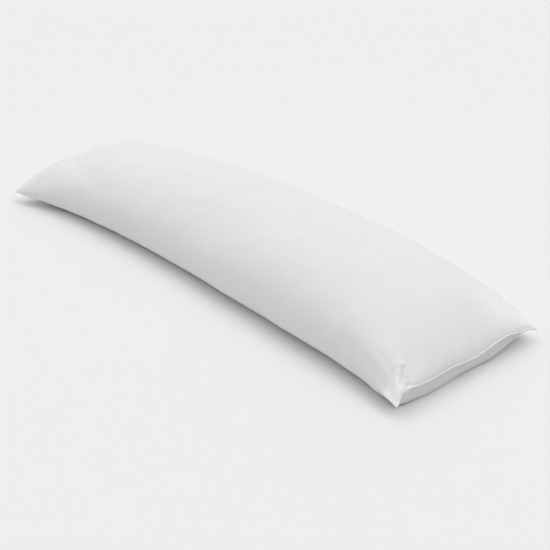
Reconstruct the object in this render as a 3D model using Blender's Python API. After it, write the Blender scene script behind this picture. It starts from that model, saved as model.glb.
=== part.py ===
"""Body pillow lying on its back: a long cotton cover, seamed at its ends and filled with loose fibre.

Metres, +Z up. +X runs along the pillow, towards its fuller end, and the long side at -Y is the folded
one. The origin is on the resting face, below the middle of the corner tips.

The pillow is one closed form. Its upper and lower sheets are the same grid, with a place along the
pillow (s, from -1 to 1) and a place across it (t, from -1 to 1) for every point, and they meet in the
seam that runs all round.
"""
from collections import namedtuple

import bmesh
import bpy
import numpy as np

# ---------------------------------------------------------------- driving dimensions, in metres
TIP_LENGTH = 1.560        # corner tip to corner tip, along X
TIP_WIDTH = 0.490         # corner tip to corner tip, along Y
BULGE_HEIGHT = 0.070      # height of the widest line of the long sides
SEAM_THICKNESS = 0.0032   # the turned seam allowances, pressed flat between the two sheets
SEAM_LIP = 0.003          # how far the seam stands out from the filling
REST_SHARE = 0.74         # share of the width that lies flat at mid length
END_REST_SHARE = 0.90     # the same share at the two ends, where the cover is pulled flat
SETTLE = 0.005            # how softly the lower sheet comes to the resting face
PRESSED = 0.0004          # what would hover less than this above the resting face is pressed flat

# How fast each curve turns over: larger is squarer, smaller is more pointed.
CROWN_ACROSS = 2.2        # of the far side; the near side goes over to its own column below
NEAR_SHARE = 0.7          # share of the near half over which it does so
CROWN_ALONG = 3.7
CROWN_END_SLOPE = 0.6     # below 0.5 the ends are blunter than round, above it they come to an edge
BELLY_ACROSS = 4.0
SLIM_BELLY_ALONG = 12.0
TUCK_FALL = 0.88          # how fast the lower sheet falls where it is tucked under at the full end
CORNER_REACH = 6.0        # how close to an end the corners start to rise or fall

STEPS_ALONG = 66
STEPS_ACROSS = 32
NORMAL_STEP = 0.004       # share of a half length or width between points that give a normal
CROWDING_ALONG = 0.85     # 0 spaces the grid lines evenly, 1 crowds them at the ends
CROWDING_ACROSS = 0.95

# ---------------------------------------------------------------- tables
# One row for each cross-section: its place s along the pillow, how far the near (-Y) and the far (+Y)
# long side are drawn in from the line between the corner tips, the crown's height there, and how
# squarely the near side turns over.
Section = namedtuple("Section", "s near_in far_in crown shoulder")
SECTIONS = (
    Section(-1.00, 0.000, 0.000, 0.212, 2.10),
    Section(-0.93, 0.019, 0.008, 0.208, 2.10),
    Section(-0.80, 0.040, 0.016, 0.1945, 2.20),
    Section(-0.55, 0.057, 0.011, 0.195, 2.50),
    Section(-0.20, 0.062, 0.001, 0.210, 2.00),
    Section(+0.20, 0.048, 0.001, 0.212, 2.20),
    Section(+0.55, 0.034, 0.010, 0.216, 2.60),
    Section(+0.80, 0.022, 0.016, 0.225, 2.65),
    Section(+0.93, 0.007, 0.010, 0.233, 2.40),
    Section(+1.00, 0.000, 0.000, 0.226, 2.20),
)

# One row for each point of an end seam: its place t across the pillow, its height, and how far in from
# it the lower sheet is tucked under before it reaches the resting face.
SeamPoint = namedtuple("SeamPoint", "t height tuck")
FULL_END_SEAM = (
    SeamPoint(-1.00, 0.0280, 0.0095),
    SeamPoint(-0.97, 0.0360, 0.0095),
    SeamPoint(-0.94, 0.0520, 0.0095),
    SeamPoint(-0.88, 0.0575, 0.0100),
    SeamPoint(-0.70, 0.0520, 0.0128),
    SeamPoint(-0.50, 0.0495, 0.0102),
    SeamPoint(-0.30, 0.0515, 0.0107),
    SeamPoint(-0.02, 0.0445, 0.0137),
    SeamPoint(+0.14, 0.0455, 0.0130),
    SeamPoint(+0.38, 0.0535, 0.0090),
    SeamPoint(+0.52, 0.0555, 0.0110),
    SeamPoint(+0.70, 0.0465, 0.0167),
    SeamPoint(+0.85, 0.0420, 0.0220),
    SeamPoint(+1.00, 0.0280, 0.0245),
)
SLIM_END_SEAM = (
    SeamPoint(-1.00, 0.0360, 0.0),
    SeamPoint(-0.80, 0.0550, 0.0),
    SeamPoint(+0.00, 0.0650, 0.0),
    SeamPoint(+0.80, 0.0600, 0.0),
    SeamPoint(+1.00, 0.0450, 0.0),
)

# One row for each ear of the cover, at a corner: the place of its tip, how far the effect reaches along
# and across the pillow, and its amount. A pinch lays the upper sheet down towards the long side, and a
# hover is the height at which the lower sheet stays above the resting face.
Ear = namedtuple("Ear", "name s t along across amount")
PINCHED_TIPS = (
    Ear("full end, near tip", 1, -1, 0.060, 0.090, 0.45),
    Ear("full end, far tip", 1, 1, 0.040, 0.030, 0.25),
    Ear("slim end, near tip", -1, -1, 0.120, 0.080, 0.30),
    Ear("slim end, far tip", -1, 1, 0.050, 0.050, 0.30),
)
HOVERING_TIPS = (
    Ear("full end, near tip", 1, -1, 0.040, 0.040, 0.012),
    Ear("full end, far tip", 1, 1, 0.120, 0.130, 0.023),
    Ear("slim end, near tip", -1, -1, 0.150, 0.120, 0.024),
    Ear("slim end, far tip", -1, 1, 0.120, 0.120, 0.024),
)

# One row for each fold of the upper sheet: the plan line it runs along, how far it spreads to the left
# and to the right of that line, and how far it stands up (or sinks, when negative).
Fold = namedtuple("Fold", "name x0 y0 x1 y1 left right lift")
FOLDS = (
    Fold("corner ridge", 0.776, -0.240, 0.740, -0.194, 0.014, 0.009, 0.0085),
    Fold("crease beside the ridge", 0.777, -0.226, 0.744, -0.188, 0.008, 0.010, -0.0050),
    Fold("brow above the ridge", 0.730, -0.190, 0.708, -0.188, 0.016, 0.016, 0.0030),
    Fold("valley along the far rim", 0.708, 0.195, 0.773, 0.232, 0.010, 0.010, -0.0025),
    Fold("rim of the far ear", 0.765, 0.236, 0.690, 0.230, 0.020, 0.016, 0.0115),
    Fold("pocket of the far ear", 0.772, 0.170, 0.755, 0.160, 0.012, 0.012, 0.0030),
    Fold("slim end valley", -0.655, -0.110, -0.430, -0.160, 0.040, 0.030, -0.0060),
    Fold("slim end dip", -0.660, -0.085, -0.655, 0.060, 0.030, 0.030, -0.0045),
    Fold("slim end shoulder", -0.660, 0.020, -0.600, 0.080, 0.050, 0.060, 0.0060),
    Fold("slim tip ridge", -0.760, -0.236, -0.700, -0.178, 0.012, 0.018, 0.0050),
)
FOLD_ROOT = 0.006         # a fold dies out where the filling is thinner than this

# The same for the lower sheet, where each row lifts or drops the cloth between the seam and the floor.
UNDER_FOLDS = (
    Fold("under the near ear", 0.782, -0.215, 0.740, -0.215, 0.020, 0.020, -0.0030),
    Fold("under the slim tip", -0.775, -0.240, -0.640, -0.215, 0.030, 0.030, -0.0015),
)

# The small folds of the ears need a finer grid: the squares of the flat grid that lie in a patch are
# halved, and those in two patches are halved twice.
Patch = namedtuple("Patch", "name u_from v_from v_to")
FINE_PATCHES = (
    Patch("near ear", 0.64, -1.00, -0.40),
    Patch("far ear", 0.64, 0.40, 1.00),
    Patch("corner ridge", 0.74, -1.00, -0.46),
)

COVER_COLOUR = (0.83, 0.83, 0.825, 1.0)
COVER_ROUGHNESS = 0.9


def clear_scene():
    """Removes whatever the scene starts with."""
    for item in list(bpy.data.objects):
        bpy.data.objects.remove(item, do_unlink=True)


def column(rows, name):
    """One named column of a table, as an array."""
    return np.array([getattr(row, name) for row in rows])


def smooth_row(places, values, at):
    """A smooth curve through (places, values), read at an array of places.

    Each stretch is a cubic whose slope at a row is the mean of the slopes on its two sides, weighted
    so that the closer neighbour counts for more.
    """
    gap = np.diff(places)
    slope = np.diff(values) / gap
    lean = np.empty_like(values)
    lean[0] = slope[0]
    lean[-1] = slope[-1]
    lean[1:-1] = (slope[:-1] * gap[1:] + slope[1:] * gap[:-1]) / (gap[1:] + gap[:-1])
    i = np.clip(np.searchsorted(places, at) - 1, 0, len(gap) - 1)
    f = (at - places[i]) / gap[i]
    start = values[i] * (1 + 2 * f) * (1 - f) ** 2 + lean[i] * gap[i] * f * (1 - f) ** 2
    end = values[i + 1] * f * f * (3 - 2 * f) + lean[i + 1] * gap[i] * f * f * (f - 1)
    return start + end


def section_column(name, s):
    """A column of SECTIONS, read smoothly at the places s."""
    return smooth_row(column(SECTIONS, "s"), column(SECTIONS, name), s)


def seam_column(rows, name, t):
    """A column of an end seam's table, read smoothly at the places t."""
    return smooth_row(column(rows, "t"), column(rows, name), t)


def crowd(u, amount):
    """Even steps u from -1 to 1, moved towards the two ends."""
    return (1 - amount) * u + amount * np.sin(0.5 * np.pi * u)


def plan(s, t):
    """x runs straight along the pillow; y lies between the two drawn-in long sides."""
    near = -TIP_WIDTH / 2 + section_column("near_in", s)
    far = TIP_WIDTH / 2 - section_column("far_in", s)
    return s * TIP_LENGTH / 2, 0.5 * (near + far) + 0.5 * (far - near) * t


def rim_height(s, t):
    """Height of the seam and of the widest line: level along the sides, its own line at each end."""
    full_end = seam_column(FULL_END_SEAM, "height", t)
    end = np.where(s > 0, full_end, seam_column(SLIM_END_SEAM, "height", t))
    return BULGE_HEIGHT + (end - BULGE_HEIGHT) * np.abs(s) ** CORNER_REACH


def inside_lip(place, half_size):
    """The place measured on the filled part alone, so that the lip past it has no filling."""
    return np.clip(np.abs(place) * half_size / (half_size - SEAM_LIP), 0, 1)


def ear_bell(ear, s, t):
    """An ear's amount at its tip, fading in a bell curve along and across the pillow."""
    along = (1 - s * ear.s) * TIP_LENGTH / 2 / ear.along
    across = (1 - t * ear.t) * TIP_WIDTH / 2 / ear.across
    return ear.amount * np.exp(-along ** 2 - across ** 2)


def near_power(s, t):
    """How squarely the sheet turns over: as the far side at mid width, as its section at the near side."""
    share = np.clip(-t / NEAR_SHARE, 0, 1)
    return CROWN_ACROSS + (section_column("shoulder", s) - CROWN_ACROSS) * share ** 2 * (3 - 2 * share)


def filling_above(s, t):
    """Height of the upper sheet above the rim: the crown, falling to nothing in a curve at every side."""
    along = (1 - inside_lip(s, TIP_LENGTH / 2) ** CROWN_ALONG) ** CROWN_END_SLOPE
    pinch = sum(ear_bell(ear, s, t) for ear in PINCHED_TIPS)
    place = np.where(t > 0, inside_lip(t, TIP_WIDTH / 2), np.abs(t))
    across = (1 - place ** near_power(s, t)) ** (0.5 + pinch)
    return (section_column("crown", s) - BULGE_HEIGHT) * along * across


def share_below(s, t):
    """How far the lower sheet has dropped from the rim: 0 at the rim, 1 where it gets to the floor."""
    across = np.sqrt(1 - np.abs(t) ** BELLY_ACROSS)
    slim_end = np.sqrt(1 - inside_lip(s, TIP_LENGTH / 2) ** SLIM_BELLY_ALONG)
    depth = (1 - inside_lip(s, TIP_LENGTH / 2)) * TIP_LENGTH / 2
    full_end = 1 - np.exp(-TUCK_FALL * depth / seam_column(FULL_END_SEAM, "tuck", t))
    along = np.where(s > 0, full_end, slim_end)
    rest_share = REST_SHARE + (END_REST_SHARE - REST_SHARE) * np.abs(s) ** CORNER_REACH
    return across * along / np.sqrt(1 - rest_share ** BELLY_ACROSS)


def settle(height):
    """The larger of height and 0, with a soft corner between them."""
    blend = (np.clip(height, -SETTLE, SETTLE) + SETTLE) ** 2 / (4 * SETTLE)
    return np.where(height > SETTLE, height, blend)


def fold_lift(fold, points):
    """A soft ridge or trough: highest on the fold's line, gone within its spread on either side."""
    start = np.array([fold.x0, fold.y0])
    run = np.array([fold.x1, fold.y1]) - start
    length = np.hypot(*run)
    heading = run / length
    offset = points[..., :2] - start
    along = offset @ heading
    aside = offset @ np.array([-heading[1], heading[0]])
    past_end = np.maximum(np.maximum(-along, along - length), 0)
    spread = np.where(aside > 0, fold.left, fold.right)
    end_spread = 0.5 * (fold.left + fold.right)
    return fold.lift * np.exp(-(aside / spread) ** 2 - (past_end / end_spread) ** 2)


def upper_sheet(s, t):
    """Points of the upper sheet, without its folds."""
    x, y = plan(s, t)
    z = rim_height(s, t) + filling_above(s, t) + SEAM_THICKNESS / 2
    return np.stack([x, y, z], axis=-1)


def lower_sheet(s, t):
    """Points of the lower sheet: its folds fade out at the seam and where it rests flat."""
    x, y = plan(s, t)
    points = np.stack([x, y, np.zeros_like(x)], axis=-1)
    share = share_below(s, t)
    dropped = np.clip(share, 0, 1)
    hanging = (rim_height(s, t) - SEAM_THICKNESS / 2) * (1 - share)
    lift = sum(fold_lift(fold, points) for fold in UNDER_FOLDS)
    hover = sum(ear_bell(ear, s, t) for ear in HOVERING_TIPS)
    height = hover + settle(hanging + 4 * dropped * (1 - dropped) * lift - hover)
    points[..., 2] = np.maximum(height - PRESSED * dropped, 0)
    return points


def outward(s, t):
    """Unit normals of the upper sheet, from points a short step to each side."""
    step = NORMAL_STEP
    inner_s = np.clip(s, -1 + step, 1 - step)
    inner_t = np.clip(t, -1 + step, 1 - step)
    along = upper_sheet(inner_s + step, inner_t) - upper_sheet(inner_s - step, inner_t)
    across = upper_sheet(inner_s, inner_t + step) - upper_sheet(inner_s, inner_t - step)
    normal = np.cross(along, across)
    return normal / np.linalg.norm(normal, axis=-1, keepdims=True)


def folded_upper_sheet(s, t):
    """The upper sheet with its folds, which move each point along the sheet's own normal."""
    points = upper_sheet(s, t)
    lift = sum(fold_lift(fold, points) for fold in FOLDS)
    depth = filling_above(s, t)
    root = depth / (depth + FOLD_ROOT)
    return points + (lift * root)[..., None] * outward(s, t)


def make_cover_material():
    """White cotton."""
    material = bpy.data.materials.new("white_cotton")
    material.use_nodes = True
    shader = material.node_tree.nodes["Principled BSDF"]
    shader.inputs["Base Color"].default_value = COVER_COLOUR
    shader.inputs["Roughness"].default_value = COVER_ROUGHNESS
    shader.inputs["Metallic"].default_value = 0.0
    return material


def is_in_patch(vertex, patch):
    """True for a point of the upper layer that lies in the patch."""
    u, v, layer = vertex.co
    return layer > 0 and u > patch.u_from and patch.v_from <= v <= patch.v_to


def halve_grid(work, patch):
    """Splits each square of a patch in four."""
    edges = [edge for edge in work.edges if all(is_in_patch(vertex, patch) for vertex in edge.verts)]
    bmesh.ops.subdivide_edges(work, edges=edges, cuts=1, use_grid_fill=True)


def make_doubled_grid():
    """A flat grid laid double and closed at its edge: the lower layer at z = -1, the upper at z = 1."""
    work = bmesh.new()
    bmesh.ops.create_grid(work, x_segments=STEPS_ALONG, y_segments=STEPS_ACROSS, size=1.0)
    bmesh.ops.translate(work, verts=work.verts[:], vec=(0, 0, -1))
    copied = bmesh.ops.extrude_face_region(work, geom=work.faces[:], use_keep_orig=True)
    upper = [item for item in copied["geom"] if isinstance(item, bmesh.types.BMVert)]
    bmesh.ops.translate(work, verts=upper, vec=(0, 0, 2))
    for patch in FINE_PATCHES:
        halve_grid(work, patch)
    bmesh.ops.recalc_face_normals(work, faces=work.faces[:])
    mesh = bpy.data.meshes.new("pillow")
    work.to_mesh(mesh)
    work.free()
    return mesh


def shape_pillow(mesh):
    """Moves every point of the doubled grid to its place on the pillow."""
    flat = np.empty(len(mesh.vertices) * 3)
    mesh.vertices.foreach_get("co", flat)
    flat = flat.reshape(-1, 3)
    s = crowd(flat[:, 0], CROWDING_ALONG)
    t = crowd(flat[:, 1], CROWDING_ACROSS)
    is_upper = flat[:, 2:] > 0
    shaped = np.where(is_upper, folded_upper_sheet(s, t), lower_sheet(s, t))
    mesh.vertices.foreach_set("co", shaped.ravel())
    mesh.update()


def make_pillow(collection):
    """The filled pillow, as one closed solid."""
    mesh = make_doubled_grid()
    shape_pillow(mesh)
    mesh.shade_smooth()
    mesh.materials.append(make_cover_material())
    pillow = bpy.data.objects.new("pillow", mesh)
    collection.objects.link(pillow)
    return pillow


def main():
    clear_scene()
    collection = bpy.data.collections.new("body_pillow")
    bpy.context.scene.collection.children.link(collection)
    make_pillow(collection)


main()
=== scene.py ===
# %% [markdown]
# # A body pillow, lying on its back
#
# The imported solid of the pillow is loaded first: it has the real size and place, and everything below
# is made around it, in metres, with +Z up. Its +X end is the full one and its long side at -Y is the
# folded one. The solid is coarse and plain, so this file makes the cotton cover that is seen: a fine
# surface with its folds, seam and weave. The solid stays as a guide and is hidden at the end.

from collections import namedtuple

import bpy
import numpy as np
from mathutils import Matrix, Vector


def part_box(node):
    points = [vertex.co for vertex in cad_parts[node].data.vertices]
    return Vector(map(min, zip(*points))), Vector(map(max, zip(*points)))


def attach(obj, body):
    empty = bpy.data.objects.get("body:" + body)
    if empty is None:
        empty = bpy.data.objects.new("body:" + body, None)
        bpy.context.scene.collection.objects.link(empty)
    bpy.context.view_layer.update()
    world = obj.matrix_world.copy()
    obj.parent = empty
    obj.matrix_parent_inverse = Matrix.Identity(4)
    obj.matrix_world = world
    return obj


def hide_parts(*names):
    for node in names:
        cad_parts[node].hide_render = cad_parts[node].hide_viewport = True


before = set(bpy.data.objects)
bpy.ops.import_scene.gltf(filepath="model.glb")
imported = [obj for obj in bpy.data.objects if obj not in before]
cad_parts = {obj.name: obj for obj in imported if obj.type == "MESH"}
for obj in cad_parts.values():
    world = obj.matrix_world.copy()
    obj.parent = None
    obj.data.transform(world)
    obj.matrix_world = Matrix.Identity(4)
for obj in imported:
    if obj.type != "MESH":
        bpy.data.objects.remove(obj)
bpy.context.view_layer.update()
solid_low, solid_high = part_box("pillow")
print("the solid measures", [round(side, 4) for side in solid_high - solid_low])

# %% [markdown]
# ## The sizes that drive the form
#
# A pillow of this kind starts as one long piece of cotton, folded along its length, sewn on the three
# open sides, turned and filled. Filling draws the long sides in between the corners, so the corner tips
# stay the furthest points. Ten cross-sections say how far each side is drawn in, how high the crown
# stands and how squarely the near side turns over there. This pillow is bowed: its near side is drawn in
# by up to 62 mm and its far side hardly at all. The tables for the two end seams give their height above
# the floor. At the full end they also say how far in from the seam the lower cloth comes down, because
# there it is tucked under in a narrow strip. These values are the solid's own, so the cover lies where
# the solid is. The folds are finer here.
#
# Most numbers in these tables were not chosen by hand. Small solving programs set the form's outline and
# seam against those in the photograph and gave the columns for the drawn-in sides, the crown, and the
# full end's height and tuck, which were then rounded. A bow and a waist written as formulas would be a
# clearer design than such columns.

# %% Driving sizes, in metres
TIP_LENGTH = solid_high.x - solid_low.x
TIP_WIDTH = 0.490
BULGE_HEIGHT = 0.070      # height of the widest line of the long sides
SEAM_THICKNESS = 0.0032   # two turned edges of the cloth, pressed flat
SEAM_LIP = 0.0030         # how far the seam stands out from the filling

Section = namedtuple("Section", "s near_in far_in crown shoulder")
SECTIONS = (
    Section(-1.00, 0.000, 0.000, 0.212, 2.10),
    Section(-0.93, 0.019, 0.008, 0.208, 2.10),
    Section(-0.80, 0.040, 0.016, 0.1945, 2.20),
    Section(-0.55, 0.057, 0.011, 0.195, 2.50),
    Section(-0.20, 0.062, 0.001, 0.210, 2.00),
    Section(+0.20, 0.048, 0.001, 0.212, 2.20),
    Section(+0.55, 0.034, 0.010, 0.216, 2.60),
    Section(+0.80, 0.022, 0.016, 0.225, 2.65),
    Section(+0.93, 0.007, 0.010, 0.233, 2.40),
    Section(+1.00, 0.000, 0.000, 0.226, 2.20),
)
SeamPoint = namedtuple("SeamPoint", "t height tuck")
FULL_END_SEAM = (
    SeamPoint(-1.00, 0.0280, 0.0095),
    SeamPoint(-0.97, 0.0360, 0.0095),
    SeamPoint(-0.94, 0.0520, 0.0095),
    SeamPoint(-0.88, 0.0575, 0.0100),
    SeamPoint(-0.70, 0.0520, 0.0128),
    SeamPoint(-0.50, 0.0495, 0.0102),
    SeamPoint(-0.30, 0.0515, 0.0107),
    SeamPoint(-0.02, 0.0445, 0.0137),
    SeamPoint(+0.14, 0.0455, 0.0130),
    SeamPoint(+0.38, 0.0535, 0.0090),
    SeamPoint(+0.52, 0.0555, 0.0110),
    SeamPoint(+0.70, 0.0465, 0.0167),
    SeamPoint(+0.85, 0.0420, 0.0220),
    SeamPoint(+1.00, 0.0280, 0.0245),
)
SLIM_END_SEAM = (
    SeamPoint(-1.00, 0.036, 0.0),
    SeamPoint(-0.80, 0.055, 0.0),
    SeamPoint(+0.00, 0.065, 0.0),
    SeamPoint(+0.80, 0.060, 0.0),
    SeamPoint(+1.00, 0.045, 0.0),
)
print(len(SECTIONS), "cross-sections over", round(TIP_LENGTH, 3), "m")

# %% [markdown]
# ## Curves from short tables
#
# A table gives a value at a few places, and the cloth needs it everywhere. A straight line between rows
# would leave a kink at each row, and a single polynomial would swing between them. A cubic for each
# stretch, whose slope at a row is the weighted mean of the slopes beside it, passes through every row
# without a kink.


# %% Read a table smoothly
def column(rows, name):
    """One named column of a table, as an array."""
    return np.array([getattr(row, name) for row in rows])


def smooth_row(places, values, at):
    """Cubic stretches through (places, values), read at an array of places.

    slope at a row = (slope before * gap after + slope after * gap before) / (both gaps)
    value = start * (1 + 2f)(1 - f)^2 + its slope * gap * f(1 - f)^2, and the same from the end, where f
    is the share of the stretch that is passed.
    """
    gap = np.diff(places)
    slope = np.diff(values) / gap
    lean = np.empty_like(values)
    lean[0] = slope[0]
    lean[-1] = slope[-1]
    lean[1:-1] = (slope[:-1] * gap[1:] + slope[1:] * gap[:-1]) / (gap[1:] + gap[:-1])
    i = np.clip(np.searchsorted(places, at) - 1, 0, len(gap) - 1)
    f = (at - places[i]) / gap[i]
    start = values[i] * (1 + 2 * f) * (1 - f) ** 2 + lean[i] * gap[i] * f * (1 - f) ** 2
    end = values[i + 1] * f * f * (3 - 2 * f) + lean[i + 1] * gap[i] * f * f * (f - 1)
    return start + end


def smooth_step(low, high, value):
    """0 below low, 1 above high, and 3f^2 - 2f^3 between them."""
    f = np.clip((value - low) / (high - low), 0, 1)
    return f * f * (3 - 2 * f)


def section_column(name, s):
    """A column of SECTIONS, read smoothly at the places s."""
    return smooth_row(column(SECTIONS, "s"), column(SECTIONS, name), s)


def seam_column(rows, name, t):
    """A column of an end seam's table, read smoothly at the places t."""
    return smooth_row(column(rows, "t"), column(rows, name), t)


print("crown at mid length:", round(float(section_column("crown", np.array([0.0]))[0]), 4), "m")

# %% [markdown]
# ## One sheet of cloth, wrapped round the filling
#
# The real cover is one rectangle, so the mesh is one grid too. Its lines along the pillow have a place s
# from -1 to 1. Its lines round the pillow start in the seam of the far long side, cross the top to the
# fold of the near side, and come back below to the same seam. Each has a place t across the pillow, from
# -1 at the fold to 1 at the far seam, and a side: 1 above, -1 below, 0 in the fold itself. Three more
# lines past each sewn edge turn the cloth into the seam: they make the small round lobe that a knife
# edge shows, with a groove where the two lobes meet.
#
# Evenly spaced lines would be too coarse for the seams or too many elsewhere. These crowd at the seams
# and round the full end's near ear, and lie up to 8 mm apart on the plain cloth.

# %% The lines of the grid
LineStep = namedtuple("LineStep", "place step")
STEPS_ALONG = (
    LineStep(-1.000, 0.0006),
    LineStep(-0.985, 0.0025),
    LineStep(-0.850, 0.0060),
    LineStep(-0.700, 0.0080),
    LineStep(+0.720, 0.0080),
    LineStep(+0.860, 0.0035),
    LineStep(+0.920, 0.0018),
    LineStep(+0.985, 0.0015),
    LineStep(+1.000, 0.0005),
)
STEPS_ACROSS = (
    LineStep(-1.000, 0.0006),
    LineStep(-0.970, 0.0014),
    LineStep(-0.740, 0.0017),
    LineStep(-0.600, 0.0045),
    LineStep(+0.600, 0.0050),
    LineStep(+0.800, 0.0030),
    LineStep(+0.970, 0.0018),
    LineStep(+1.000, 0.0006),
)

LobeLine = namedtuple("LobeLine", "out thickness groove")     # shares of half the seam's thickness
LOBE = (
    LobeLine(0.45, 0.88, 0.00),
    LobeLine(0.62, 0.50, 0.00),
    LobeLine(0.70, 0.00, 0.50),
)
FINE_PLACES = 8001        # places at which the lines passed so far are added up


def spread_lines(rows, half_size):
    """Places from -1 to 1, as far apart as the table's steps say.

    The number of lines passed is the running sum of half size / step, and it is read backwards at
    whole numbers.
    """
    fine = np.linspace(-1, 1, FINE_PLACES)
    step = np.interp(fine, column(rows, "place"), column(rows, "step"))
    passed = np.concatenate([[0], np.cumsum(half_size / step[1:] * np.diff(fine))])
    return np.interp(np.linspace(0, passed[-1], round(passed[-1]) + 1), passed, fine)


def with_lobes(inner, before, after):
    """A row of grid values with the lobe's own values before its first and after its last."""
    return np.concatenate([before[::-1], inner, after])


half_seam = SEAM_THICKNESS / 2
lobe_out = column(LOBE, "out") * half_seam
lobe_thickness = column(LOBE, "thickness")
lobe_groove = column(LOBE, "groove") * half_seam
flat_lobe = np.ones(len(LOBE))

s_plain = spread_lines(STEPS_ALONG, TIP_LENGTH / 2)
s_line = with_lobes(s_plain, -flat_lobe, flat_lobe)
s_out = with_lobes(0 * s_plain, -lobe_out, lobe_out)
s_thickness = with_lobes(0 * s_plain + 1, lobe_thickness, lobe_thickness)
s_groove = with_lobes(0 * s_plain, -lobe_groove, lobe_groove)

t_lower = spread_lines(STEPS_ACROSS, TIP_WIDTH / 2)
t_plain = np.concatenate([t_lower[:0:-1], t_lower])
t_line = with_lobes(t_plain, flat_lobe, flat_lobe)
t_side = np.sign(np.arange(len(t_line))[::-1] - (len(t_line) - 1) / 2)
t_out = with_lobes(0 * t_plain, lobe_out, lobe_out)
t_thickness = with_lobes(0 * t_plain + 1, lobe_thickness, lobe_thickness)
t_groove = with_lobes(0 * t_plain, lobe_groove, lobe_groove)

s_grid, t_grid = np.meshgrid(s_line, t_line, indexing="ij")
side_grid = np.broadcast_to(t_side, s_grid.shape)
print("the cloth's grid has", s_grid.shape[0], "by", s_grid.shape[1], "points")

# %% [markdown]
# ## The plan
#
# Seen from above, the cover is the rectangle between its corner tips, with its long sides drawn in. The
# tips are rounded a little, as a turned corner always is. A bevel could round them, but it would cut
# through the seam's small lobes. Moving the grid's own places keeps its outer lines in the seam.

# %% The plan
TIP_ROUNDING = 0.0080     # radius of a turned corner, seen from above


def plan(s, t):
    """x = s * half length; y runs between the two drawn-in long sides as t goes from -1 to 1."""
    near = -TIP_WIDTH / 2 + section_column("near_in", s)
    far = TIP_WIDTH / 2 - section_column("far_in", s)
    return s * TIP_LENGTH / 2, 0.5 * (near + far) + 0.5 * (far - near) * t


def round_tips(s, t):
    """Moves the places near a corner so that the square corner becomes a quarter circle.

    With p and q from 0 to 1 across the corner's square, p becomes p sqrt(1 - q^2 / 2) and the other way
    round, which keeps the square's two inner sides where they are.
    """
    reach_s = TIP_ROUNDING / (TIP_LENGTH / 2)
    reach_t = TIP_ROUNDING / (TIP_WIDTH / 2)
    p = np.clip((np.abs(s) - 1) / reach_s + 1, 0, 1)
    q = np.clip((np.abs(t) - 1) / reach_t + 1, 0, 1)
    back_s = reach_s * p * (1 - np.sqrt(1 - q * q / 2))
    back_t = reach_t * q * (1 - np.sqrt(1 - p * p / 2))
    return s - np.sign(s) * back_s, t - np.sign(t) * back_t


mid_sides = plan(np.zeros(2), np.array([-1.0, 1.0]))[1]
print("width at mid length:", round(float(np.ptp(mid_sides)), 4), "m")

# %% [markdown]
# ## Rim, seam and ears
#
# The upper and the lower cloth part at one line. Along the sides it is the widest line of the filled
# form, and towards an end it leaves that height for the height of the end seam. The seam itself is a
# narrow flat lip with no filling in it.
#
# Hardly any filling gets into a corner either. There the two cloths lie almost on each other and make an
# ear, pinched flat and lifted off the floor. A bell curve on each axis fades an ear out, which needs one
# row of a table for each corner.

# %% Rim, seam and ears
CORNER_REACH = 6.0        # power: how close to an end the line leaves its height along the sides
SEAM_FILLET = 0.0018      # how softly the cloth rises from the seam

Ear = namedtuple("Ear", "name s t along across amount")


def rim_height(s, t):
    """Height of the seam and the widest line: level along the sides, its own curve at each end.

    bulge height + (end curve - bulge height) * |s|^CORNER_REACH
    """
    full_end = seam_column(FULL_END_SEAM, "height", t)
    end = np.where(s > 0, full_end, seam_column(SLIM_END_SEAM, "height", t))
    return BULGE_HEIGHT + (end - BULGE_HEIGHT) * np.abs(s) ** CORNER_REACH


def inside_seam(place, half_size):
    """The place, 0 to 1, measured on the filled part alone, with a soft start at the seam's lip.

    depth past the lip d becomes sqrt(d^2 + fillet^2) - fillet, which rises from nothing without a kink.
    """
    depth = np.maximum((1 - np.abs(place)) * half_size - SEAM_LIP, 0)
    soft = np.sqrt(depth ** 2 + SEAM_FILLET ** 2) - SEAM_FILLET
    full = np.sqrt((half_size - SEAM_LIP) ** 2 + SEAM_FILLET ** 2) - SEAM_FILLET
    return 1 - soft / full


def rise_and_fall(depth, reach):
    """0 at the seam, 1 at the reach and then gone again: (depth / reach) exp(1 - depth / reach)."""
    return depth / reach * np.exp(1 - depth / reach)


def ear_bell(ear, s, t):
    """An ear's amount at its tip, gone within its reach on each axis.

    amount * exp(-(distance along / reach)^2 - (distance across / reach)^2)
    """
    along = (1 - s * ear.s) * TIP_LENGTH / 2 / ear.along
    across = (1 - t * ear.t) * TIP_WIDTH / 2 / ear.across
    return ear.amount * np.exp(-along ** 2 - across ** 2)


widest_line = rim_height(np.zeros(1), np.zeros(1))[0]
print("the widest line is", round(float(widest_line), 4), "m above the floor")

# %% [markdown]
# ## The upper cloth
#
# Loose fibre pushes the cloth into a loaf: steep at the sides, nearly level on top, and blunt at the
# ends, where the seam holds it. A grid blown up by a cloth simulation finds such a form by itself, but
# not this pillow's own one. Powers of the place say how fast the crown turns over, across and along, and
# they can be set to follow the photograph.

# %% The filling above the rim
CROWN_ACROSS = 2.2        # power: how squarely the far side turns over; the near side has its own column
SHOULDER_REACH = 0.7      # share of the half width over which the near side takes its own power
CROWN_ALONG = 3.7         # power: how squarely the crown turns down towards an end
CROWN_END_SLOPE = 0.6     # power: how steeply it meets the end seam

PINCHED_TIPS = (          # the amount is added to the power that makes the cloth stand up
    Ear("full end, near tip", 1, -1, 0.060, 0.090, 0.45),
    Ear("full end, far tip", 1, 1, 0.040, 0.030, 0.25),
    Ear("slim end, near tip", -1, -1, 0.120, 0.080, 0.30),
    Ear("slim end, far tip", -1, 1, 0.050, 0.050, 0.30),
)


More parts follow.
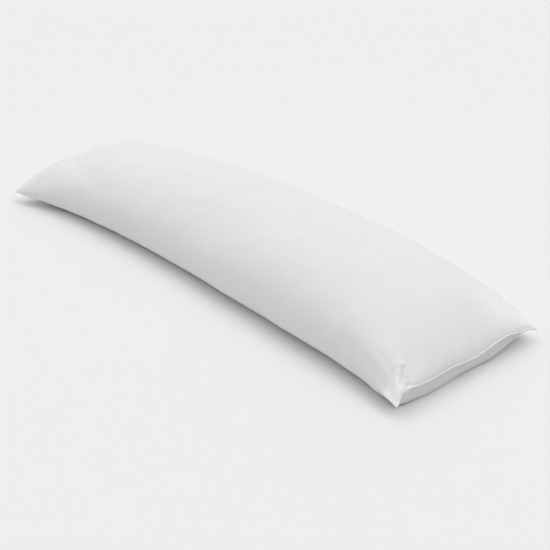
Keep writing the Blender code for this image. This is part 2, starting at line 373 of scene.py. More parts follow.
def filling_above(s, t):
    """Height of the upper cloth above the rim.

    (crown - bulge) * (1 - s^a)^b * (1 - t^p)^(1/2 + pinch), with CROWN_ALONG as a and CROWN_END_SLOPE as
    b, where p is CROWN_ACROSS on the far side and at the middle and goes to the section's own shoulder
    on the near side. Without a pinch the cloth stands upright at the widest line, and the pinch of a tip
    lays it down there.
    """
    along = (1 - inside_seam(s, TIP_LENGTH / 2) ** CROWN_ALONG) ** CROWN_END_SLOPE
    across_place = np.where(t > 0, inside_seam(t, TIP_WIDTH / 2), np.abs(t))
    near_share = smooth_step(0, SHOULDER_REACH, -t)
    near_power = CROWN_ACROSS + (section_column("shoulder", s) - CROWN_ACROSS) * near_share
    pinch = sum(ear_bell(ear, s, t) for ear in PINCHED_TIPS)
    across = (1 - across_place ** near_power) ** (0.5 + pinch)
    return (section_column("crown", s) - BULGE_HEIGHT) * along * across


middle_height = BULGE_HEIGHT + float(filling_above(np.zeros(1), np.zeros(1))[0])
print("height at the middle:", round(middle_height, 4), "m")

# %% [markdown]
# ## The lower cloth
#
# Below the rim the cloth curves under and lies flat, under its own weight and the filling's. At the slim
# end it turns under like the sides do. At the full end it is tucked under in a narrow strip, and falls
# to the floor within one or two centimetres.

# %% The cloth below the rim
REST_SHARE = 0.74         # share of the width that lies flat at mid length
END_REST_SHARE = 0.90     # and at the two ends
BELLY_ACROSS = 4.0        # power: how squarely the lower cloth turns under, across and at the slim end
SLIM_BELLY_ALONG = 12.0
TUCK_FALL = 0.88          # how fast the lower cloth falls where it is tucked under at the full end
SETTLE = 0.0050           # how softly the cloth comes to the resting face


def share_below(s, t):
    """How far the lower cloth has come down from the rim: 0 at the rim, 1 where it reaches the floor.

    across * along / (across where the cloth starts to rest), with sqrt(1 - t^BELLY_ACROSS) across and
    sqrt(1 - s^SLIM_BELLY_ALONG) along on the slim half. On the full half, along is
    1 - exp(-TUCK_FALL * depth / tuck), where the depth is measured from the end seam.
    """
    across = np.sqrt(1 - np.abs(t) ** BELLY_ACROSS)
    slim = np.sqrt(1 - inside_seam(s, TIP_LENGTH / 2) ** SLIM_BELLY_ALONG)
    depth = (1 - inside_seam(s, TIP_LENGTH / 2)) * TIP_LENGTH / 2
    full = 1 - np.exp(-TUCK_FALL * depth / seam_column(FULL_END_SEAM, "tuck", t))
    along = np.where(s > 0, full, slim)
    rest_share = REST_SHARE + (END_REST_SHARE - REST_SHARE) * np.abs(s) ** CORNER_REACH
    return across * along / np.sqrt(1 - rest_share ** BELLY_ACROSS)


def settle(height):
    """The larger of height and 0, with a soft corner: (h + c)^2 / 4c while h is between -c and c."""
    blend = (np.clip(height, -SETTLE, SETTLE) + SETTLE) ** 2 / (4 * SETTLE)
    return np.where(height > SETTLE, height, blend)


print("cloth at the floor's height settles", float(settle(np.zeros(1))[0]) * 1000, "mm above it")

# %% [markdown]
# ## Folds
#
# A fold is a soft ridge or trough along a short line. The full end shows one sharp ridge that runs from
# the near tip up to the crown, with a crease beside it, where the cloth of the fold and the cloth of the
# end meet. The far ear has a rim, and the slim end is slack, with a valley, a dip and a notch. A bell
# curve across the line, wider on one side than on the other, gives each of them, so one row of a table
# is enough for a fold. Sculpting by hand would do as well, but a table can be read and changed.

# %% The folds, and their shape
Fold = namedtuple("Fold", "name x0 y0 x1 y1 left right lift")
UPPER_FOLDS = (
    Fold("corner ridge", 0.776, -0.240, 0.740, -0.196, 0.0110, 0.0045, 0.0080),
    Fold("crease beside the ridge", 0.777, -0.230, 0.758, -0.212, 0.0030, 0.0050, -0.0042),
    Fold("ridge's bend", 0.749, -0.203, 0.741, -0.191, 0.0050, 0.0040, 0.0032),
    Fold("ridge's end", 0.738, -0.192, 0.739, -0.183, 0.0070, 0.0070, 0.0028),
    Fold("crease round the ridge's end", 0.732, -0.182, 0.742, -0.174, 0.0040, 0.0040, -0.0020),
    Fold("brow above the ridge", 0.730, -0.190, 0.708, -0.188, 0.0160, 0.0160, 0.0030),
    Fold("bump beside the crease", 0.754, -0.197, 0.752, -0.194, 0.0070, 0.0070, 0.0015),
    Fold("dimple beside the crease", 0.775, -0.202, 0.767, -0.198, 0.0065, 0.0065, -0.0055),
    Fold("notch at the seam", 0.778, -0.198, 0.775, -0.207, 0.0035, 0.0035, -0.0160),
    Fold("tuck at the seam", 0.777, -0.216, 0.779, -0.228, 0.0050, 0.0050, 0.0050),
    Fold("hollow beside the ridge", 0.752, -0.231, 0.738, -0.222, 0.0080, 0.0080, -0.0030),
    Fold("valley along the far rim", 0.708, 0.195, 0.773, 0.232, 0.0080, 0.0080, -0.0025),
    Fold("rim of the far ear", 0.765, 0.236, 0.690, 0.230, 0.0200, 0.0160, 0.0115),
    Fold("pocket of the far ear", 0.772, 0.170, 0.755, 0.160, 0.0120, 0.0120, 0.0030),
    Fold("slim end valley", -0.655, -0.110, -0.430, -0.160, 0.0400, 0.0300, -0.0060),
    Fold("slim end dip", -0.660, -0.085, -0.655, 0.060, 0.0300, 0.0300, -0.0045),
    Fold("slim end shoulder", -0.660, 0.020, -0.600, 0.080, 0.0500, 0.0600, 0.0060),
    Fold("slim end notch", -0.712, -0.052, -0.704, -0.025, 0.0200, 0.0200, -0.0060),
    Fold("slim tip ridge", -0.760, -0.236, -0.700, -0.178, 0.0120, 0.0180, 0.0050),
)
LOWER_FOLDS = (
    Fold("under the near ear", 0.782, -0.225, 0.735, -0.232, 0.0200, 0.0200, 0.0060),
    Fold("under the slim tip", -0.775, -0.240, -0.640, -0.215, 0.0300, 0.0300, -0.0015),
)
FOLD_ROOT = 0.006         # a fold dies out where the filling is thinner than this


def fold_lift(fold, x, y):
    """lift * exp(-(distance aside / spread)^2 - (distance past the line's end / end spread)^2)"""
    length = np.hypot(fold.x1 - fold.x0, fold.y1 - fold.y0)
    heading_x = (fold.x1 - fold.x0) / length
    heading_y = (fold.y1 - fold.y0) / length
    along = (x - fold.x0) * heading_x + (y - fold.y0) * heading_y
    aside = (y - fold.y0) * heading_x - (x - fold.x0) * heading_y
    past_end = np.maximum(np.maximum(-along, along - length), 0)
    spread = np.where(aside > 0, fold.left, fold.right)
    end_spread = 0.5 * (fold.left + fold.right)
    return fold.lift * np.exp(-(aside / spread) ** 2 - (past_end / end_spread) ** 2)


def total_lift(folds, x, y):
    """All folds of a table added up."""
    return sum(fold_lift(fold, x, y) for fold in folds)


print(len(UPPER_FOLDS), "folds above and", len(LOWER_FOLDS), "below")

# %% [markdown]
# The same bells can mark the cloth instead of lifting it. At the two ears of the full end nearly no
# filling lies behind the cloth, and there the cotton gets painted light: a whiter colour and a faint
# glow that stand for light coming through it. These rows say where and how much, for the upper and for
# the lower cloth. The cotton's material reads the marks.

# %% Where the ears get painted light
# Painted light: where these rows lie, the cotton is painted whiter and glows faintly.
NEAR_EAR = Fold("near ear", 0.787, -0.248, 0.748, -0.237, 0.0100, 0.0130, 1.0)
PAINTED_LIGHT_ABOVE = (
    NEAR_EAR,
    Fold("edge of the ridge", 0.776, -0.236, 0.745, -0.204, 0.0080, 0.0035, 0.5),
    Fold("far ear", 0.760, 0.225, 0.740, 0.150, 0.0700, 0.0700, 0.45),
)
PAINTED_LIGHT_BELOW = (
    NEAR_EAR,
    Fold("puff beside the near ear", 0.783, -0.220, 0.781, -0.208, 0.0080, 0.0080, 1.0),
)
print(len(PAINTED_LIGHT_ABOVE), "thin patches above and", len(PAINTED_LIGHT_BELOW), "below")

# %% [markdown]
# ## Lumps of filling, and puckers at the seams
#
# Fibre is never quite even, so the cloth over it rolls by a millimetre or two. A handful of waves with
# mixed headings and lengths, added up, rolls in the same way and never repeats. Beside a seam the
# thread is a little shorter than the cloth, and the cloth gathers into small puckers that run away from
# the seam and are gone within a few centimetres.

# %% Waves with mixed headings
LUMP_HEIGHT = 0.0008
LUMP_SPAN = (0.10, 0.26)
DENT_HEIGHT = 0.00035
DENT_SPAN = (0.035, 0.08)
PUCKER_HEIGHT = 0.0005
PUCKER_SPAN = (0.022, 0.050)
PUCKER_REACH = 0.007      # where the puckers are highest, measured from the seam
UNFILLED_PUCKERS = 0.25   # share of their height that the puckers keep where there is no filling
LOWER_PUCKERS = 0.6       # share of their height that they have on the lower cloth
LUMP_SQUEEZE = 1.3        # the lumps are longer along the pillow than across it, by this much


def rolling(x, y, span, seed, waves=14):
    """The sum of cosines with seeded headings, wavelengths inside span and phases, scaled to a mean
    square of 1."""
    draw = np.random.default_rng(seed)
    wavelength = draw.uniform(span[0], span[1], waves)
    heading = draw.uniform(0, np.pi, waves)
    phase = draw.uniform(0, 2 * np.pi, waves)
    turn_x = 2 * np.pi * np.cos(heading) / wavelength
    turn_y = 2 * np.pi * np.sin(heading) / wavelength
    wave = np.cos(x[..., None] * turn_x + y[..., None] * turn_y + phase)
    return wave.sum(axis=-1) * np.sqrt(2 / waves)


def gathered(along, depth, seed):
    """Puckers beside a seam: waves along it that rise and fall with the distance from it."""
    waves = rolling(along, np.zeros_like(along), PUCKER_SPAN, seed, waves=9)
    return waves * rise_and_fall(depth, PUCKER_REACH)


print("lumps of", LUMP_HEIGHT * 1000, "mm, puckers of", PUCKER_HEIGHT * 1000, "mm")

# %% [markdown]
# ## Putting the form together
#
# Every step works on the whole grid at once. The plain form comes first: the upper and the lower cloth,
# with the tips of the ears lifted off the floor. The filling swells a few millimetres out over the end
# seams, and cloth that would hover by less than half a millimetre is pressed down. The form's own
# normals then say which way a fold or a lump moves each point.

# %% The cloth's points
WRAP = 0.05               # share of the half width over which the seam's thickness is gone at the fold
END_SWELL = 0.0032        # how far the filling pushes the cloth out over the end seams
END_SWELL_REACH = 0.0080  # how far in from the seam it does so most
SWELL_CORNER = 8          # power: how close to a corner the swell over the end seam dies out
PRESSED = 0.0004          # what would hover less than this is pressed flat
TINY = 1e-12              # stands in for the length of a normal that has none

HOVERING_TIPS = (         # the amount is a height above the floor
    Ear("full end, near tip", 1, -1, 0.040, 0.040, 0.012),
    Ear("full end, far tip", 1, 1, 0.120, 0.130, 0.023),
    Ear("slim end, near tip", -1, -1, 0.150, 0.120, 0.024),
    Ear("slim end, far tip", -1, 1, 0.120, 0.120, 0.024),
)


def plain_form(s, t, side):
    """The filled form without folds: the plan, with the height above or below the rim.

    above = rim + thickness + filling; below = hover + settle((rim - thickness)(1 - share) + 4 share
    (1 - share) lift - hover), so a fold of the lower cloth is nothing at the rim and on the floor.
    """
    x, y = plan(*round_tips(s, t))
    rim = rim_height(s, t)
    from_fold = smooth_step(0, WRAP, 1 + t)
    thickness = half_seam * np.minimum.outer(s_thickness, t_thickness) * from_fold
    above = rim + thickness + filling_above(s, t)
    hanging = (rim - thickness) * (1 - share_below(s, t))
    lift = total_lift(LOWER_FOLDS, x, y)
    dropped = np.clip(share_below(s, t), 0, 1)
    hover = sum(ear_bell(ear, s, t) for ear in HOVERING_TIPS)
    below = hover + settle(hanging + 4 * dropped * (1 - dropped) * lift - hover)
    below = np.maximum(below - PRESSED * dropped, 0)
    x = x + s_out[:, None] - s_groove[:, None] * from_fold
    swell = rise_and_fall(np.maximum((1 - np.abs(s)) * TIP_LENGTH / 2 - SEAM_LIP, 0), END_SWELL_REACH)
    x = x + END_SWELL * np.sign(s) * swell * (side > 0) * (1 - t ** SWELL_CORNER).clip(0, 1)
    y = y + t_out - t_groove
    return np.stack([x, y, np.where(side >= 0, above, below)], axis=-1)


def grid_normals(points):
    """Unit normals of a grid of points: the cross product of its two directions."""
    normal = np.cross(np.gradient(points, axis=1), np.gradient(points, axis=0))
    return normal / np.maximum(np.linalg.norm(normal, axis=-1, keepdims=True), TINY)


def surface_detail(s, t, side, points):
    """How far each point moves along its normal.

    root * (folds + lumps + dents) + puckers * (root + UNFILLED_PUCKERS), where the root is
    depth / (depth + FOLD_ROOT): nothing at the seam and nearly 1 over a few centimetres of filling.
    """
    x = points[..., 0]
    y = points[..., 1]
    depth = np.where(side > 0, filling_above(s, t), points[..., 2] * (1 - share_below(s, t)).clip(0, 1))
    root = depth / (depth + FOLD_ROOT)
    folds = np.where(side > 0, total_lift(UPPER_FOLDS, x, y), 0)
    lumps = LUMP_HEIGHT * rolling(x, y * LUMP_SQUEEZE, LUMP_SPAN, seed=4)
    dents = DENT_HEIGHT * rolling(x, y, DENT_SPAN, seed=11)
    from_end = (1 - np.abs(s)) * TIP_LENGTH / 2
    from_long_seam = (1 - t) * TIP_WIDTH / 2
    puckers = PUCKER_HEIGHT * (gathered(y, from_end, seed=21) + gathered(x, from_long_seam, seed=22))
    puckers = puckers * np.where(side > 0, 1, LOWER_PUCKERS) * (root + UNFILLED_PUCKERS)
    return root * (folds + lumps + dents) + puckers


plain_points = plain_form(s_grid, t_grid, side_grid)
normals = grid_normals(plain_points)
detail = surface_detail(s_grid, t_grid, side_grid, plain_points)
cloth_points = plain_points + detail[..., None] * normals
cloth_points[..., 2] = np.maximum(cloth_points[..., 2], 0)
print("the cover measures", np.ptp(cloth_points, axis=(0, 1)).round(4))

# %% [markdown]
# ## Sewing the rectangle into a closed mesh
#
# The grid's outer line lies in the groove of the seam. There each point of the upper part meets a point
# of the lower part, as the two edges meet under the needle, so both use one vertex. The cover's UV map
# is its cutting pattern: metres along and across the flat cloth, so a weave keeps its scale and its
# threads run over the fold without a break. Two marks go with the mesh as attributes: where the ears get
# painted light, and where painted shade darkens the lower cloth tucked under the full end.


# %% From the grid to a mesh
def sewn_indices(rows, columns):
    """The vertex number of each grid point, where the outer line's two halves share theirs."""
    index = np.arange(rows * columns).reshape(rows, columns)
    half = columns // 2
    for end in (0, -1):
        index[end, half + 1:] = index[end, :half][::-1]
    index[:, -1] = index[:, 0]
    return index


def quads(index):
    """The four corners of each square of the grid, in the order that points it outwards."""
    corners = (index[:-1, :-1], index[:-1, 1:], index[1:, 1:], index[1:, :-1])
    return np.stack(corners, axis=-1).reshape(-1, 4)


def cutting_pattern(points):
    """Metres along and across the flat cloth: arc lengths on the form, evened out to a rectangle."""
    along = np.cumsum(np.linalg.norm(np.diff(points, axis=0, prepend=points[:1]), axis=-1), axis=0)
    across = np.cumsum(np.linalg.norm(np.diff(points, axis=1, prepend=points[:, :1]), axis=-1), axis=1)
    cut_length = along[-1].mean()
    cut_width = across[:, -1].mean()
    u = (along / along[-1] - 0.5) * cut_length
    v = (across / across[:, -1:] - 0.5) * cut_width
    return np.stack([u, v], axis=-1), cut_length, cut_width


def make_mesh(name, points, pattern, marks):
    """A closed mesh from the sewn grid, with the cutting pattern as its UV map and named marks."""
    index = sewn_indices(*points.shape[:2])
    used, compact = np.unique(index, return_inverse=True)
    faces = quads(compact.reshape(index.shape))
    corners = quads(np.arange(index.size).reshape(index.shape))
    mesh = bpy.data.meshes.new(name)
    mesh.from_pydata(points.reshape(-1, 3)[used], [], faces)
    layer = mesh.uv_layers.new(name="cutting_pattern")
    layer.uv.foreach_set("vector", pattern.reshape(-1, 2)[corners.ravel()].ravel().astype(np.float32))
    for mark_name, values in marks.items():
        mark = mesh.attributes.new(mark_name, "FLOAT", "POINT")
        mark.data.foreach_set("value", values.ravel()[used].astype(np.float32))
    mesh.shade_smooth()
    return mesh


# %% The cover as one mesh
# The painted shade on the tucked cloth fades out over this reach.
TUCKED_SHADE_REACH = 0.06       # the tucked cloth's mark fades out over this distance from the end seam
pattern, cut_length, cut_width = cutting_pattern(cloth_points)
ear_light_upper = total_lift(PAINTED_LIGHT_ABOVE, cloth_points[..., 0], cloth_points[..., 1])
ear_light_lower = total_lift(PAINTED_LIGHT_BELOW, cloth_points[..., 0], cloth_points[..., 1])
ear_painted_light = np.where(side_grid >= 0, ear_light_upper, ear_light_lower).clip(0, 1)
# Painted shade: the lower cloth tucked under the full end is marked to be painted greyer.
tucked_painted_shade = np.exp(-((1 - s_grid) * TIP_LENGTH / 2 / TUCKED_SHADE_REACH) ** 2) * (side_grid < 0)
marks = {"ear_painted_light": ear_painted_light, "tucked_painted_shade": tucked_painted_shade}
cover_mesh = make_mesh("cotton_cover", cloth_points, pattern, marks)
cover = bpy.data.objects.new("cotton_cover", cover_mesh)
bpy.context.scene.collection.objects.link(cover)
print("cut", round(cut_length, 3), "by", round(cut_width, 3), "m;", len(cover_mesh.polygons), "squares")

# %% [markdown]
# ## Writing shader maths as expressions
#
# A node material is a chain of small sums. Written out as nodes and links it is hard to read, so this
# class stands for a socket: adding or multiplying two of them adds the Math node that does it.


# %% Sockets that can be added and multiplied
class Signal:
    """A number that varies over the surface: the output socket of a node."""

    def __init__(self, board, socket):
        self.board = board
        self.socket = socket

    def math(self, operation, first, second=None):
        values = {0: first} if second is None else {0: first, 1: second}
        return self.board.node("ShaderNodeMath", {"operation": operation}, values)

    def __add__(self, other):
        return self.math("ADD", self, other)

    def __radd__(self, other):
        return self.math("ADD", other, self)

    def __sub__(self, other):
        return self.math("SUBTRACT", self, other)

    def __rsub__(self, other):
        return self.math("SUBTRACT", other, self)

    def __mul__(self, other):
        return self.math("MULTIPLY", self, other)

    def __rmul__(self, other):
        return self.math("MULTIPLY", other, self)

    def __pow__(self, other):
        return self.math("POWER", self, other)

    def __rpow__(self, other):
        return self.math("POWER", other, self)

    def __abs__(self):
        return self.math("ABSOLUTE", self)

    def sine(self):
        return self.math("SINE", self)

    def part(self, axis):
        """One component of a vector."""
        return self.board.node("ShaderNodeSeparateXYZ", {}, {0: self}, axis)

    def ramp(self, low, high):
        """0 at low, 1 at high, and a smooth step between them."""
        settings = {"interpolation_type": "SMOOTHSTEP"}
        return self.board.node("ShaderNodeMapRange", settings, {"Value": self, 1: low, 2: high})


print("signals can be added, multiplied and ramped")

# %% [markdown]
# A board holds the nodes of one material, or of the sky. Every node that is not a plain sum comes from
# one method, which takes the node's kind, its settings, and the values or links of its sockets.


# %% Nodes, set up and linked in one call
class Board:
    """The nodes of one material, or of the sky."""

    def __init__(self, owner):
        owner.use_nodes = True
        self.owner = owner
        self.tree = owner.node_tree

    def socket(self, node_name, name):
        """An input of a node that the board starts with."""
        return self.tree.nodes[node_name].inputs[name]

    def node(self, kind, settings, values, output=0):
        """Adds a node, sets it up, then gives its sockets values or links."""
        made = self.tree.nodes.new(kind)
        for name, value in settings.items():
            setattr(made, name, value)
        for name, value in values.items():
            self.feed(made.inputs[name], value)
        return Signal(self, made.outputs[output])

    def feed(self, socket, value):
        """Links a signal to a socket, or sets the socket's value."""
        if isinstance(value, Signal):
            self.tree.links.new(value.socket, socket)
        else:
            socket.default_value = value

    def noise(self, place, scale, detail=2.0, roughness=0.5):
        """Cloudy noise, 0 to 1, with its lumps 1 / scale apart."""
        values = {"Vector": place, "Scale": scale, "Detail": detail, "Roughness": roughness}
        return self.node("ShaderNodeTexNoise", {}, values)

    def stretched(self, place, scale):
        """A place multiplied by a scale of its own on each axis."""
        return self.node("ShaderNodeVectorMath", {"operation": "MULTIPLY"}, {0: place, 1: scale})

    def blend_colours(self, share, first, second):
        """Goes from the first colour to the second as share goes from 0 to 1."""
        return self.node("ShaderNodeMix", {"data_type": "RGBA"}, {0: share, 6: first, 7: second}, 2)


print("boards add nodes, noise and colour blends")

# %% [markdown]
# ## White cotton
#
# The cover is a plain weave of fine cotton: each thread goes over one and under the next. At its real
# pitch of half a millimetre the weave is only seen close up, and from further away it makes the white
# matt and soft, with a faint sheen where the surface turns away. Threads that are thicker than their
# neighbours run as faint streaks. The weave follows the cutting pattern, so the threads curve with the
# cloth, and the small gaps between the threads get painted shade that makes them a little greyer. The
# cloudy parts follow the place on the pillow.

# %% Weave, streaks and clouds
THREAD_PITCH = 0.00050
THREAD_ROUNDNESS = 0.4    # power: how full a thread's hump is along its length
CROSSING_BLUR = 0.15      # how softly one thread dips under the next
STREAKS_ALONG = (14.0, 900.0, 1.0)    # streaks in a metre of the cloth's length, and of its width
STREAKS_ACROSS = (900.0, 14.0, 1.0)
CLOUDS = 7.0              # clouds and crumples in a metre
CRUMPLES = 38.0

cotton = Board(bpy.data.materials.new("white_cotton_weave"))
flat_place = cotton.node("ShaderNodeUVMap", {"uv_map": "cutting_pattern"}, {})
place = cotton.node("ShaderNodeTexCoord", {}, {}, "Object")
along_cloth = flat_place.part(0)
across_cloth = flat_place.part(1)

warp_turn = (along_cloth * (np.pi / THREAD_PITCH)).sine()
weft_turn = (across_cloth * (np.pi / THREAD_PITCH)).sine()
warp_on_top = (warp_turn * weft_turn).ramp(-CROSSING_BLUR, CROSSING_BLUR)
warp_hump = abs(warp_turn) ** THREAD_ROUNDNESS * abs(weft_turn)
weft_hump = abs(warp_turn) * abs(weft_turn) ** THREAD_ROUNDNESS
weave = warp_hump * warp_on_top + weft_hump * (1 - warp_on_top)

warp_streak = cotton.noise(cotton.stretched(flat_place, STREAKS_ALONG), 1.0)
weft_streak = cotton.noise(cotton.stretched(flat_place, STREAKS_ACROSS), 1.0)
streaks = warp_streak + weft_streak - 1.0

clouds = cotton.noise(place, CLOUDS, detail=3.0)
crumples = cotton.noise(place, CRUMPLES, detail=2.0, roughness=0.4)
print("one thread every", THREAD_PITCH * 1000, "mm")

# %% [markdown]
# The seam has four layers of cloth and a row of hidden stitches that pull it in at every 2.5 mm. The
# distance to the nearest sewn edge comes from the cutting pattern, and it drives both the stitches'
# small dimples and a greyer line of painted shade over the groove and the seam's lip.
#
# The colours are laid over each other: the cotton's own clouds and streaks, its weave with painted shade
# in the gaps, the painted shade on the cloth tucked under the full end, the painted light that whitens
# the ears, and last the seam's line of painted shade. The ears also glow faintly, painted light for cloth
# that has light behind it: light can't pass through this closed form as it does through two thin
# sheets, so the glow stands for it.

# %% The seam's finish, and the whole material
COTTON_WHITE = (0.878, 0.878, 0.876, 1.0)
COTTON_SHADE = (0.845, 0.845, 0.845, 1.0)
# Painted shade: the seam's groove and lip are painted this grey.
SEAM_PAINTED_SHADE = (0.755, 0.755, 0.757, 1.0)
# Painted shade: the cloth tucked under the full end is painted this grey.
TUCKED_PAINTED_SHADE = (0.780, 0.780, 0.785, 1.0)
# Painted light on the ears: a whiter colour, and a faint glow though they are no lamp.
EAR_PAINTED_LIGHT = (0.960, 0.960, 0.960, 1.0)
EAR_PAINTED_GLOW = (0.055, 0.055, 0.055, 1.0)
BLACK = (0.0, 0.0, 0.0, 1.0)
# Painted shade along the seam's groove and lip, between these distances from the edge.
SEAM_SHADE_FADE = (0.0012, 0.0045)          # the greyer line fades out between these distances from the edge
STITCH_ROW = (0.002, 0.006)           # and the stitches' dimples between these
CLOUD_SHADE = 0.9         # how much clouds, streaks and weave each change the shade
STREAK_SHADE = 0.5
# Painted shade: the weave greys the gaps between the threads by this much.
WEAVE_GAP_SHADE = 0.8
MATT = 0.86               # the cloth's roughness, and how clouds and threads change it
CLOUD_MATT = 0.06
THREAD_GLOSS = 0.05
STITCH_PITCH = 0.0025
STITCH_DEPTH = 0.00012
WEAVE_DEPTH = 0.00009
STREAK_DEPTH = 0.00005
CRUMPLE_DEPTH = 0.00030

end_gap = cut_length / 2 - abs(along_cloth)
long_gap = cut_width / 2 - abs(across_cloth)
seam_gap = cotton.node("ShaderNodeMath", {"operation": "MINIMUM"}, {0: end_gap, 1: long_gap})
# Painted shade along the seam's groove and lip.
seam_shade_line = 1 - seam_gap.ramp(*SEAM_SHADE_FADE)
beside_seam = 1 - seam_gap.ramp(*STITCH_ROW)
stitch_turn = ((along_cloth + across_cloth) * (2 * np.pi / STITCH_PITCH)).sine()
stitches = stitch_turn * beside_seam

# Clouds and streaks are the cotton's own uneven tone; the weave's part is painted shade in the gaps
# between the threads.
shade = (clouds - 0.5) * CLOUD_SHADE + 0.5 + streaks * STREAK_SHADE + (weave - 0.5) * WEAVE_GAP_SHADE
surface_colour = cotton.blend_colours(shade.ramp(0.0, 1.0), COTTON_SHADE, COTTON_WHITE)
# Painted light on the ears: this mark whitens the colour there.
ear_light = cotton.node("ShaderNodeAttribute", {"attribute_name": "ear_painted_light"}, {}, "Fac")
# Painted shade on the lower cloth tucked under the full end.
tucked_shade_mask = cotton.node("ShaderNodeAttribute", {"attribute_name": "tucked_painted_shade"}, {}, "Fac")
tucked_shaded_colour = cotton.blend_colours(tucked_shade_mask, surface_colour, TUCKED_PAINTED_SHADE)
ear_lit_colour = cotton.blend_colours(ear_light, tucked_shaded_colour, EAR_PAINTED_LIGHT)
# Painted shade along the seam, left off where the ears get painted light.
colour = cotton.blend_colours(seam_shade_line * (1 - ear_light), ear_lit_colour, SEAM_PAINTED_SHADE)
# Painted glow on the ears, standing for light that comes through the cloth.
glow = cotton.blend_colours(ear_light, BLACK, EAR_PAINTED_GLOW)
roughness = MATT + (clouds - 0.5) * CLOUD_MATT - weave * THREAD_GLOSS
height = weave * WEAVE_DEPTH + streaks * STREAK_DEPTH + crumples * CRUMPLE_DEPTH + stitches * STITCH_DEPTH
relief = cotton.node("ShaderNodeBump", {}, {"Height": height, "Distance": 1.0, "Strength": 1.0})

cotton_finish = {
    "Base Color": colour,
    "Roughness": roughness,
    "Normal": relief,
    "Emission Color": glow,
    "Emission Strength": 1.0,
    "Sheen Weight": 0.12,
    "Sheen Roughness": 0.45,
    "Specular IOR Level": 0.25,
}
for name, value in cotton_finish.items():
    cotton.feed(cotton.socket("Principled BSDF", name), value)
cover_mesh.materials.append(cotton.owner)
print("the cotton has", len(cotton.tree.nodes), "nodes")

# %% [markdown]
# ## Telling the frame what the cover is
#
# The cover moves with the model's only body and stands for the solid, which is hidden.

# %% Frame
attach(cover, "root")
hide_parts("pillow")
print("the cover stands for the solid")

# %% [markdown]
# ## Floor
#
# A studio shot on white: an even, pale floor with no edge in sight.

# %% Floor
FLOOR_WHITE = (0.86, 0.86, 0.86, 1.0)
FLOOR_HALF_SIZE = 40.0
FLOOR_GAP = 0.0004        # the floor lies this far below the resting face

bpy.ops.mesh.primitive_plane_add(size=2 * FLOOR_HALF_SIZE, location=(0, 0, -FLOOR_GAP))
floor = bpy.context.object
floor.name = "floor"
paper = Board(bpy.data.materials.new("pale_floor"))
for name, value in {"Base Color": FLOOR_WHITE, "Roughness": 0.95, "Specular IOR Level": 0.0}.items():
    paper.feed(paper.socket("Principled BSDF", name), value)
floor.data.materials.append(paper.owner)
print("floor of", 2 * FLOOR_HALF_SIZE, "m")

# %% [markdown]
# ## Light
#
# Soft light could come from large area lamps, but those would have to stand out of every view. A sky
# that is brighter in some directions does the same and stands nowhere. It has a strong glow overhead,
# which leaves a dark line where the pillow meets the floor, and the fainter glow of white walls on three
# sides. One large soft lamp, high beyond the full end, adds the shape of the shadow. The near side gets
# the least light, so it is the darker one. The strengths come from a program's fit to the tones of the
# photograph, and the near wall's was raised after it.

# %% Light
ZENITH_STRENGTH = 1.75
ZENITH_POWER = 4.0        # how closely the strong light is gathered round the zenith
SLIM_WALL = 0.455         # the glow of a white wall beyond the slim end (-X)
NEAR_WALL = 0.325         # and of walls beyond the near side (-Y) and the far side (+Y)
FAR_WALL = 0.574
BACKDROP_STRENGTH = 0.86  # what the camera sees above the floor's far edge
LAMP_STRENGTH = 0.481
LAMP_ELEVATION = 55.0     # degrees above the floor
LAMP_ROUND = 80.0         # degrees from straight behind (+Y) towards the full end (+X)
LAMP_SPREAD = 30.0        # degrees across, which makes the shadow's edge soft


def make_sky():
    """Light from all round: zenith * height^power, and for each wall strength * the share facing it."""
    world = bpy.data.worlds.new("studio")
    sky = Board(world)
    way = sky.node("ShaderNodeTexCoord", {}, {}, "Generated")
    seen = sky.node("ShaderNodeLightPath", {}, {}, "Is Camera Ray")

    def facing_share(towards):
        return sky.node("ShaderNodeClamp", {}, {"Value": towards})

    overhead = facing_share(way.part(2)) ** ZENITH_POWER * ZENITH_STRENGTH
    slim_wall = facing_share(way.part(0) * -1) * SLIM_WALL
    near_wall = facing_share(way.part(1) * -1) * NEAR_WALL
    far_wall = facing_share(way.part(1)) * FAR_WALL
    strength = (overhead + slim_wall + near_wall + far_wall) * (1 - seen) + seen * BACKDROP_STRENGTH
    sky.feed(sky.socket("Background", "Color"), (1.0, 1.0, 1.0, 1.0))
    sky.feed(sky.socket("Background", "Strength"), strength)
    return world


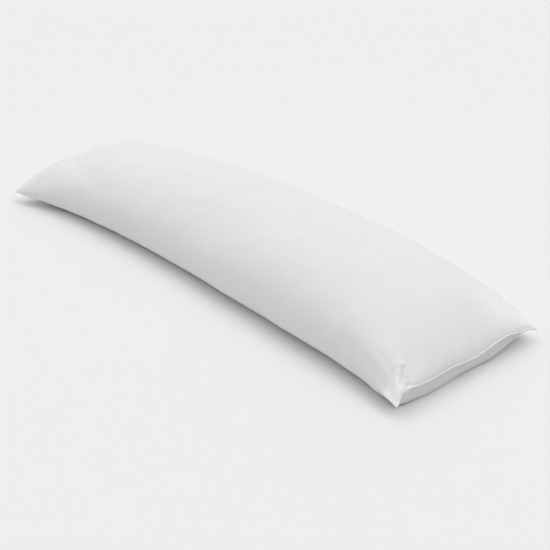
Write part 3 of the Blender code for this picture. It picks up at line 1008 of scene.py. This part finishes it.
bpy.context.scene.world = make_sky()
lamp_data = bpy.data.lights.new("high_lamp", "SUN")
lamp_data.energy = LAMP_STRENGTH
lamp_data.angle = np.radians(LAMP_SPREAD)
lamp = bpy.data.objects.new("high_lamp", lamp_data)
lamp_up = np.radians(LAMP_ELEVATION)
lamp_turn = np.radians(LAMP_ROUND)
lamp_level = np.cos(lamp_up)
lamp_way = Vector((np.sin(lamp_turn) * lamp_level, np.cos(lamp_turn) * lamp_level, np.sin(lamp_up)))
lamp.matrix_world = lamp_way.to_track_quat("Z", "Y").to_matrix().to_4x4()
bpy.context.scene.collection.objects.link(lamp)
bpy.context.scene.view_settings.view_transform = "Standard"
print("lamp at", LAMP_ELEVATION, "degrees")

# %% [markdown]
# ## Camera
#
# The view is from the full end's near corner, a little above: 48 degrees round from the front and 27
# degrees up, with a lens that makes the near end look larger than the far one. Eye, aim and lens come
# from fitting the pillow's outline, not by eye, so the focal length is given in pixels.

# %% Camera
CAMERA_ROUND = 47.993     # degrees from the front (-Y) towards the full end (+X)
CAMERA_UP = 26.575        # degrees above the floor
CAMERA_DISTANCE = 2.631
CAMERA_AIM = Vector((0.1918, -0.0502, 0.05))
LENS_PIXELS = 1040.2      # focal length, in pixels of a frame 550 wide
FRAME_PIXELS = 550
SENSOR = 36.0             # millimetres across
VIEW_END = 200.0          # the camera sees this far, past the floor's edge

turn = np.radians(CAMERA_ROUND)
tilt = np.radians(CAMERA_UP)
back = Vector((np.sin(turn) * np.cos(tilt), -np.cos(turn) * np.cos(tilt), np.sin(tilt)))
camera_data = bpy.data.cameras.new("camera")
camera_data.sensor_width = SENSOR
camera_data.lens = LENS_PIXELS / FRAME_PIXELS * SENSOR
camera_data.clip_end = VIEW_END
camera = bpy.data.objects.new("camera", camera_data)
facing = back.to_track_quat("Z", "Y").to_matrix().to_4x4()
camera.matrix_world = Matrix.Translation(CAMERA_AIM + back * CAMERA_DISTANCE) @ facing
bpy.context.scene.collection.objects.link(camera)
bpy.context.scene.camera = camera
print("camera", CAMERA_DISTANCE, "m away, lens", round(camera_data.lens, 1), "mm")
